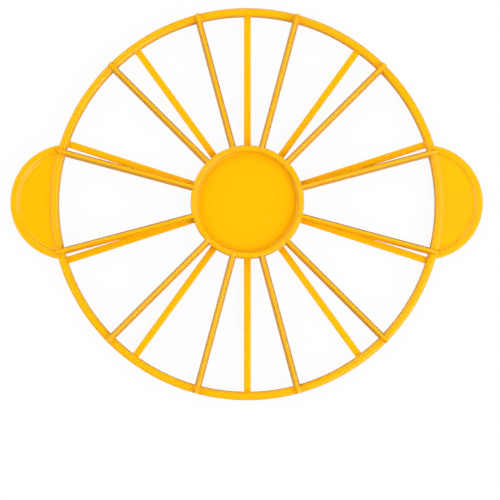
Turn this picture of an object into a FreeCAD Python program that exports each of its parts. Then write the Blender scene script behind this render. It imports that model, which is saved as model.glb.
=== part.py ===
"""Double-sided cake portion marker, moulded in one piece.

Ribs that stamp 12 portions stand on the upper side and ribs that stamp 10 stand on the lower side. They run
from a round hub, which is recessed on both sides, out over a flat ring. A half-moon grip lies outside the
ring at each end of the X axis, in the middle of a portion on both sides.

Millimetres. The origin is on the ring's axis, in the plane of the lower ridges, on which the marker rests. Z
points up and X runs along the grips. The mould parts halfway up, and every wall tapers away from that plane.
"""

import FreeCAD, Part
import math
import os

# Portions
upper_portions = 12
lower_portions = 10

# Ring
ring_radius = 135.0
ring_width = 5.5
ring_height = 8.0
ring_bevel = 1.2

# Marking ribs, with heights measured from the parting plane
rib_height = 8.0
rib_root_width = 4.7
rib_ridge_width = 1.9
rib_ridge_round = 0.45
rib_back_height = 0.8
rib_back_bevel = 0.4
rib_ring_setback = 0.2
rib_recess_setback = 0.2

# Hub
hub_radius = 39.1
hub_rim_width = 3.8
hub_rim_drop = 0.4
hub_rim_bevel = 0.9
hub_web_thickness = 4.2
hub_recess_draft_deg = 7.0
hub_foot_leg = 0.4

# Grips
grip_radius = 39.6
grip_offset = 122.6
grip_height = 8.0
grip_rim_width = 4.0
grip_rim_bevel = 0.5
grip_web_thickness = 4.0
grip_recess_draft_deg = 44.0
grip_foot_web_leg = 1.05
grip_foot_wall_leg = 0.6

# Moulding
wall_draft_deg = 3.0

# Share of a side that one corner's bevel or round may take
corner_share = 0.48

NODE = "portion_marker"
FULL_TURN = 360.0

parting_height = rib_height
hub_rim_height = rib_height - hub_rim_drop


def taper(height, draft_deg):
    """How far a drafted wall leans back over a height."""
    return height * math.tan(math.radians(draft_deg))


def upright(u, v):
    """A profile point with u out from the axis and v up from the parting plane."""
    return FreeCAD.Vector(u, 0, parting_height + v)


def bevel(back_leg, ahead_leg=None):
    """A straight cut across a corner. Its two legs are equal, unless a length for the second is given too."""

    def cut(before, corner, after):
        back = before - corner
        ahead = after - corner
        back_reach = min(back_leg, corner_share * back.Length)
        ahead_reach = min(ahead_leg or back_leg, corner_share * ahead.Length)
        if ahead_leg is None:
            back_reach = ahead_reach = min(back_reach, ahead_reach)
        first = corner + back.normalize() * back_reach
        last = corner + ahead.normalize() * ahead_reach
        return Part.makeLine(first, last), first, last

    return cut


def rounding(radius):
    """An arc that is tangent to both sides of a corner."""

    def arc(before, corner, after):
        back = before - corner
        ahead = after - corner
        half_angle = back.getAngle(ahead) / 2
        reach = min(radius / math.tan(half_angle), corner_share * back.Length, corner_share * ahead.Length)
        back.normalize()
        ahead.normalize()
        fitted_radius = reach * math.tan(half_angle)
        middle = corner + (back + ahead).normalize() * (fitted_radius / math.sin(half_angle) - fitted_radius)
        first = corner + back * reach
        last = corner + ahead * reach
        return Part.Arc(first, middle, last).toShape(), first, last

    return arc


def profile_face(corners, place):
    """A closed face through corners, put in space by place(u, v). A corner (u, v, soften) is softened."""
    points = [place(u, v) for u, v, *_ in corners]
    ends = []
    edges = []
    for index, (_, _, *soften) in enumerate(corners):
        if soften:
            edge, first, last = soften[0](points[index - 1], points[index], points[(index + 1) % len(points)])
            edges.append(edge)
            ends.append((first, last))
        else:
            ends.append((points[index], points[index]))
    for index in range(len(ends)):
        edges.append(Part.makeLine(ends[index - 1][1], ends[index][0]))
    return Part.Face(Part.Wire(Part.sortEdges(edges)[0]))


def mirrored(upper_half):
    """Corners of the upper half, from the inside outwards, then their reflection in the parting plane."""
    lower_half = [(u, -v, *soften) for u, v, *soften in reversed(upper_half) if v > 0]
    return upper_half + lower_half


def revolved(corners):
    """A profile turned about the Z axis."""
    return profile_face(corners, upright).revolve(FreeCAD.Vector(0, 0, 0), FreeCAD.Vector(0, 0, 1), FULL_TURN)


def turned(shape, angle_deg):
    """A copy turned about the marker's axis."""
    copy = shape.copy()
    copy.rotate(FreeCAD.Vector(0, 0, 0), FreeCAD.Vector(0, 0, 1), angle_deg)
    return copy


def ring():
    """The flat ring, six-sided in section: both walls lean in from the parting plane."""
    half_height = ring_height / 2
    lean = taper(half_height, wall_draft_deg)
    inner_radius = ring_radius - ring_width
    upper_half = [
        (inner_radius, 0),
        (inner_radius + lean, half_height, bevel(ring_bevel)),
        (ring_radius - lean, half_height, bevel(ring_bevel)),
        (ring_radius, 0),
    ]
    return revolved(mirrored(upper_half))


def dish(radius, height, rim_width, web_thickness, rim_bevel, recess_draft_deg, foot):
    """A round plate with a rim on both sides: the hub, and the disc that each grip is part of."""
    half_web = web_thickness / 2
    rim_outer = radius - taper(height, wall_draft_deg)
    recess_top = rim_outer - rim_width
    recess_base = recess_top - taper(height - half_web, recess_draft_deg)
    upper_half = [
        (0, half_web),
        (recess_base, half_web, foot),
        (recess_top, height, bevel(rim_bevel)),
        (rim_outer, height, bevel(rim_bevel)),
        (radius, 0),
    ]
    return revolved(mirrored(upper_half))


def hub():
    """The round hub, with its rims a little below the ridges that run over them."""
    return dish(
        hub_radius,
        hub_rim_height,
        hub_rim_width,
        hub_web_thickness,
        hub_rim_bevel,
        hub_recess_draft_deg,
        bevel(hub_foot_leg),
    )


def hub_recess_radius():
    """The radius of the hub's recess at the rim's face."""
    return hub_radius - taper(hub_rim_height, wall_draft_deg) - hub_rim_width


def grip():
    """The grip on the +X side: what a rimmed disc leaves outside the middle of the ring's section."""
    disc = dish(
        grip_radius,
        grip_height / 2,
        grip_rim_width,
        grip_web_thickness,
        grip_rim_bevel,
        grip_recess_draft_deg,
        bevel(grip_foot_web_leg, grip_foot_wall_leg),
    )
    disc.translate(FreeCAD.Vector(grip_offset, 0, 0))
    ring_middle = ring_radius - ring_width / 2
    inside = Part.makeCylinder(ring_middle, 2 * parting_height)
    return disc.cut(inside)


def rib_reach():
    """The side view that ribs are trimmed to: it gives both ends of a rib their place and lean."""
    inner_radius = hub_recess_radius() + hub_rim_bevel + rib_recess_setback
    outer_radius = ring_radius - rib_ring_setback
    upper_half = [
        (inner_radius, rib_height),
        (outer_radius - taper(rib_height, wall_draft_deg), rib_height),
        (outer_radius, 0),
    ]
    side_view = profile_face(mirrored(upper_half), upright)
    side_view.translate(FreeCAD.Vector(0, -rib_root_width, 0))
    return side_view.extrude(FreeCAD.Vector(0, 2 * rib_root_width, 0))


def rib(side):
    """One marking rib along +X. Side is 1 for the upper set and -1 for the lower set."""
    half_root = rib_root_width / 2
    half_ridge = rib_ridge_width / 2
    half_back = half_root - taper(rib_back_height, wall_draft_deg)
    section = [
        (-half_ridge, side * rib_height, rounding(rib_ridge_round)),
        (-half_root, 0),
        (-half_back, -side * rib_back_height, bevel(rib_back_bevel)),
        (half_back, -side * rib_back_height, bevel(rib_back_bevel)),
        (half_root, 0),
        (half_ridge, side * rib_height, rounding(rib_ridge_round)),
    ]

    def across(u, v):
        return FreeCAD.Vector(0, u, parting_height + v)

    bar = profile_face(section, across).extrude(FreeCAD.Vector(ring_radius, 0, 0))
    return bar.common(rib_reach())


def rib_set(side, portions):
    """One rib between each portion and the next, with a portion centred on each grip."""
    division = FULL_TURN / portions
    pattern = rib(side)
    return [turned(pattern, (index + 0.5) * division) for index in range(portions)]


def portion_marker():
    """The whole moulding as one solid."""
    right_grip = grip()
    left_grip = turned(right_grip, FULL_TURN / 2)
    bodies = [hub(), right_grip, left_grip]
    bodies += rib_set(1, upper_portions)
    bodies += rib_set(-1, lower_portions)
    return ring().fuse(bodies).removeSplitter()


marker = portion_marker()
if len(marker.Solids) != 1 or not marker.isValid():
    raise RuntimeError("the marker is not one valid solid")

os.makedirs("parts", exist_ok=True)
marker.Solids[0].exportStep(os.path.join("parts", NODE + ".step"))
print(NODE, round(marker.Volume), "mm3,", len(marker.Faces), "faces,", marker.BoundBox)
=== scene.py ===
"""Looks of the cake portion marker: moulded plastic, pale floor, soft studio light and camera. Metres."""

import math
import bpy
from mathutils import Matrix, Vector


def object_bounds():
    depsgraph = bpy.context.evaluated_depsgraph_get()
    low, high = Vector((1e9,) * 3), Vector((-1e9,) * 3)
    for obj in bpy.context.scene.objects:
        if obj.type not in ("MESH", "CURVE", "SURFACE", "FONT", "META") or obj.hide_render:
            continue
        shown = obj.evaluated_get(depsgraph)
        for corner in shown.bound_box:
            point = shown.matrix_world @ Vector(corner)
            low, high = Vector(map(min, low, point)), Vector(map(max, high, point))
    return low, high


# Camera: it looks down at the middle of the marker, a little from below and from the left of the picture,
# and its shift moves the marker up in the picture, to its place in the photograph
CAMERA_DISTANCE = 0.794
CAMERA_TILT = math.radians(3.97)
CAMERA_LEAN = math.radians(0.98)
CAMERA_ROLL = math.radians(0.07)
CAMERA_LENS = 83.03
CAMERA_SHIFT = (0.00522, -0.09566)

# Plastic
PLASTIC_COLOR = (0.94, 0.456, 0.002, 1.0)
PLASTIC_DEEP_COLOR = (0.93, 0.444, 0.002, 1.0)
PLASTIC_ROUGHNESS = (0.14, 0.18)
PLASTIC_IOR = 1.49
PLASTIC_SPECULAR_LEVEL = 0.32
EDGE_RADIUS = 0.0013
EDGE_SAMPLES = 16

# Flow shading and mould grain of the plastic, with the scale, detail and roughness of each noise
FLOW_NOISE = (28.0, 3.0, 0.5)
FLOW_STRENGTH = 0.25
FLOW_DEPTH = 0.0004
GRAIN_NOISE = (2600.0, 2.0, 0.6)
GRAIN_STRENGTH = 0.08
GRAIN_DEPTH = 0.00002

# The part of a noise's range that is spread over the whole of what it drives
NOISE_RANGE = (0.3, 0.7)

# Floor and dome. Level is the grey that catches the lamps' light, and glow is the light given off
FLOOR_GAP = 0.00005
FLOOR_LEVEL = 0.05
FLOOR_GLOW = 0.94
DOME_RADIUS = 4.0
DOME_LEVEL = 0.0
DOME_GLOW = 0.98
FLOOR_WIDTH = 2 * DOME_RADIUS

# Heights in the surround, from 0 straight below to 1 straight above, and the brightness at each
SKY_STOPS = (
    (0.12, 0.20),
    (0.26, 0.85),
    (0.48, 0.85),
    (0.51, 0.0),
    (0.66, 0.0),
    (0.69, 0.31),
    (0.86, 0.31),
    (0.89, 0.0),
)

# Each lamp's azimuth from +X towards +Y and its elevation in degrees, its height and its power in watts
LAMPS = {
    "key": (315.0, 41.0, 1.6, 14.9),
    "right": (0.0, 41.0, 1.6, 10.9),
    "left": (180.0, 36.0, 1.4, 9.7),
    "far_left": (135.0, 33.0, 1.6, 7.4),
    "far": (75.0, 42.0, 0.9, 4.0),
    "near_left": (225.0, 50.0, 0.9, 1.5),
}
LAMP_DISTANCE = 1.5
LAMP_WIDTH = 0.9

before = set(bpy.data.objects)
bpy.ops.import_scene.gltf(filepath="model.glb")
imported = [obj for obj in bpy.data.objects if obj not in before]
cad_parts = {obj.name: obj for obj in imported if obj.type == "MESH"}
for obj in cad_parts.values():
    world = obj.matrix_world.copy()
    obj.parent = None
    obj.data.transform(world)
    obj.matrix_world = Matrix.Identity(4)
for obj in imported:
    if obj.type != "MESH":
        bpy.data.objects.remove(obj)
cad_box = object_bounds()
centre = (cad_box[0] + cad_box[1]) / 2


def link(tree, out, socket):
    """Joins two sockets of a node tree."""
    tree.links.new(out, socket)


def grey(level):
    """An opaque grey."""
    return (level, level, level, 1.0)


def noise(tree, coordinates, scale, detail, roughness):
    """A noise texture read in object space."""
    node = tree.nodes.new("ShaderNodeTexNoise")
    node.inputs["Scale"].default_value = scale
    node.inputs["Detail"].default_value = detail
    node.inputs["Roughness"].default_value = roughness
    link(tree, coordinates, node.inputs["Vector"])
    return node.outputs["Fac"]


def remap(tree, value, low, high):
    """A noise carried over to the range from low to high."""
    node = tree.nodes.new("ShaderNodeMapRange")
    node.inputs["From Min"].default_value, node.inputs["From Max"].default_value = NOISE_RANGE
    node.inputs["To Min"].default_value = low
    node.inputs["To Max"].default_value = high
    link(tree, value, node.inputs["Value"])
    return node.outputs["Result"]


def bump(tree, height, strength, depth, normal):
    """A bump on top of an earlier normal."""
    node = tree.nodes.new("ShaderNodeBump")
    node.inputs["Strength"].default_value = strength
    node.inputs["Distance"].default_value = depth
    link(tree, height, node.inputs["Height"])
    link(tree, normal, node.inputs["Normal"])
    return node.outputs["Normal"]


def moulded_plastic():
    """Yellow polypropylene: satin skin, faint flow shading, fine mould grain and softly rounded edges."""
    material = bpy.data.materials.new("moulded_plastic")
    material.use_nodes = True
    tree = material.node_tree
    shader = tree.nodes["Principled BSDF"]
    place = tree.nodes.new("ShaderNodeTexCoord").outputs["Object"]
    flow = noise(tree, place, *FLOW_NOISE)
    grain = noise(tree, place, *GRAIN_NOISE)
    tint = tree.nodes.new("ShaderNodeMix")
    tint.data_type = "RGBA"
    tint.inputs["A"].default_value = PLASTIC_COLOR
    tint.inputs["B"].default_value = PLASTIC_DEEP_COLOR
    link(tree, remap(tree, flow, 0.0, 1.0), tint.inputs["Factor"])
    link(tree, tint.outputs["Result"], shader.inputs["Base Color"])
    link(tree, remap(tree, flow, *PLASTIC_ROUGHNESS), shader.inputs["Roughness"])
    edge = tree.nodes.new("ShaderNodeBevel")
    edge.samples = EDGE_SAMPLES
    edge.inputs["Radius"].default_value = EDGE_RADIUS
    waves = bump(tree, flow, FLOW_STRENGTH, FLOW_DEPTH, edge.outputs["Normal"])
    skin = bump(tree, grain, GRAIN_STRENGTH, GRAIN_DEPTH, waves)
    link(tree, skin, shader.inputs["Normal"])
    shader.inputs["IOR"].default_value = PLASTIC_IOR
    shader.inputs["Specular IOR Level"].default_value = PLASTIC_SPECULAR_LEVEL
    return material


def glowing_white(name, level, glow):
    """Matt white with light of its own, so that soft shade on it stays pale."""
    material = bpy.data.materials.new(name)
    material.use_nodes = True
    shader = material.node_tree.nodes["Principled BSDF"]
    shader.inputs["Base Color"].default_value = grey(level)
    shader.inputs["Roughness"].default_value = 1.0
    shader.inputs["Specular IOR Level"].default_value = 0.0
    shader.inputs["Emission Color"].default_value = grey(1.0)
    shader.inputs["Emission Strength"].default_value = glow
    return material


def set_stage(surface, name, material):
    """Makes a surface part of the stage. Only the camera sees it, and it takes no light from the marker."""
    surface.name = name
    surface.data.materials.append(material)
    surface.visible_diffuse = False
    surface.visible_glossy = False
    surface.visible_shadow = False


def make_stage():
    """The floor that the marker lies on, and a plain dome round it."""
    under = (centre.x, centre.y, cad_box[0].z - FLOOR_GAP)
    bpy.ops.mesh.primitive_plane_add(size=FLOOR_WIDTH, location=under)
    set_stage(bpy.context.object, "floor", glowing_white("floor_white", FLOOR_LEVEL, FLOOR_GLOW))
    bpy.ops.mesh.primitive_uv_sphere_add(radius=DOME_RADIUS, location=centre)
    set_stage(bpy.context.object, "dome", glowing_white("dome_white", DOME_LEVEL, DOME_GLOW))


def soft_light(name, azimuth_deg, elevation_deg, height, power):
    """A rectangular lamp that faces the marker."""
    lamp = bpy.data.lights.new(name, "AREA")
    lamp.shape = "RECTANGLE"
    lamp.size = LAMP_WIDTH
    lamp.size_y = height
    lamp.energy = power
    light = bpy.data.objects.new(name, lamp)
    azimuth = math.radians(azimuth_deg)
    elevation = math.radians(elevation_deg)
    flat = math.cos(elevation)
    away = Vector((math.cos(azimuth) * flat, math.sin(azimuth) * flat, math.sin(elevation)))
    light.location = centre + away * LAMP_DISTANCE
    light.rotation_euler = away.to_track_quat("Z", "Y").to_euler()
    light.visible_camera = False
    bpy.context.scene.collection.objects.link(light)


def make_light():
    """Soft light from all sides, most of it from the right and the left."""
    for name, placing in LAMPS.items():
        soft_light(name, *placing)


def make_sky():
    """A grey surround that only the marker sees: bright below the horizon and dim in a band high up."""
    world = bpy.data.worlds.new("studio")
    world.use_nodes = True
    tree = world.node_tree
    direction = tree.nodes.new("ShaderNodeTexCoord")
    split = tree.nodes.new("ShaderNodeSeparateXYZ")
    link(tree, direction.outputs["Generated"], split.inputs["Vector"])
    # A direction's Z, from -1 straight down to 1 straight up, becomes a height from 0 to 1
    height = tree.nodes.new("ShaderNodeMapRange")
    height.inputs["From Min"].default_value = -1.0
    link(tree, split.outputs["Z"], height.inputs["Value"])
    ramp = tree.nodes.new("ShaderNodeValToRGB")
    link(tree, height.outputs["Result"], ramp.inputs["Fac"])
    stops = ramp.color_ramp.elements
    stops.remove(stops[0])
    stops[0].position, level = SKY_STOPS[0]
    stops[0].color = grey(level)
    for position, level in SKY_STOPS[1:]:
        stops.new(position).color = grey(level)
    link(tree, ramp.outputs["Color"], tree.nodes["Background"].inputs["Color"])
    bpy.context.scene.world = world


def make_camera():
    """The camera at the photograph's viewing angle."""
    data = bpy.data.cameras.new("camera")
    data.lens = CAMERA_LENS
    data.shift_x, data.shift_y = CAMERA_SHIFT
    camera = bpy.data.objects.new("camera", data)
    roll = Matrix.Rotation(CAMERA_ROLL, 4, "Z")
    tilt = Matrix.Rotation(CAMERA_TILT, 4, "X")
    lean = Matrix.Rotation(-CAMERA_LEAN, 4, "Y")
    back = Matrix.Translation((0.0, 0.0, CAMERA_DISTANCE))
    camera.matrix_world = Matrix.Translation(centre) @ roll @ tilt @ lean @ back
    bpy.context.scene.collection.objects.link(camera)
    bpy.context.scene.camera = camera


def dress(node, material):
    """Puts one material in every slot of a node."""
    node.data.materials.clear()
    node.data.materials.append(material)


bpy.context.scene.view_settings.view_transform = "Standard"
make_camera()
make_sky()
make_light()
make_stage()
dress(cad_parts["portion_marker"], moulded_plastic())
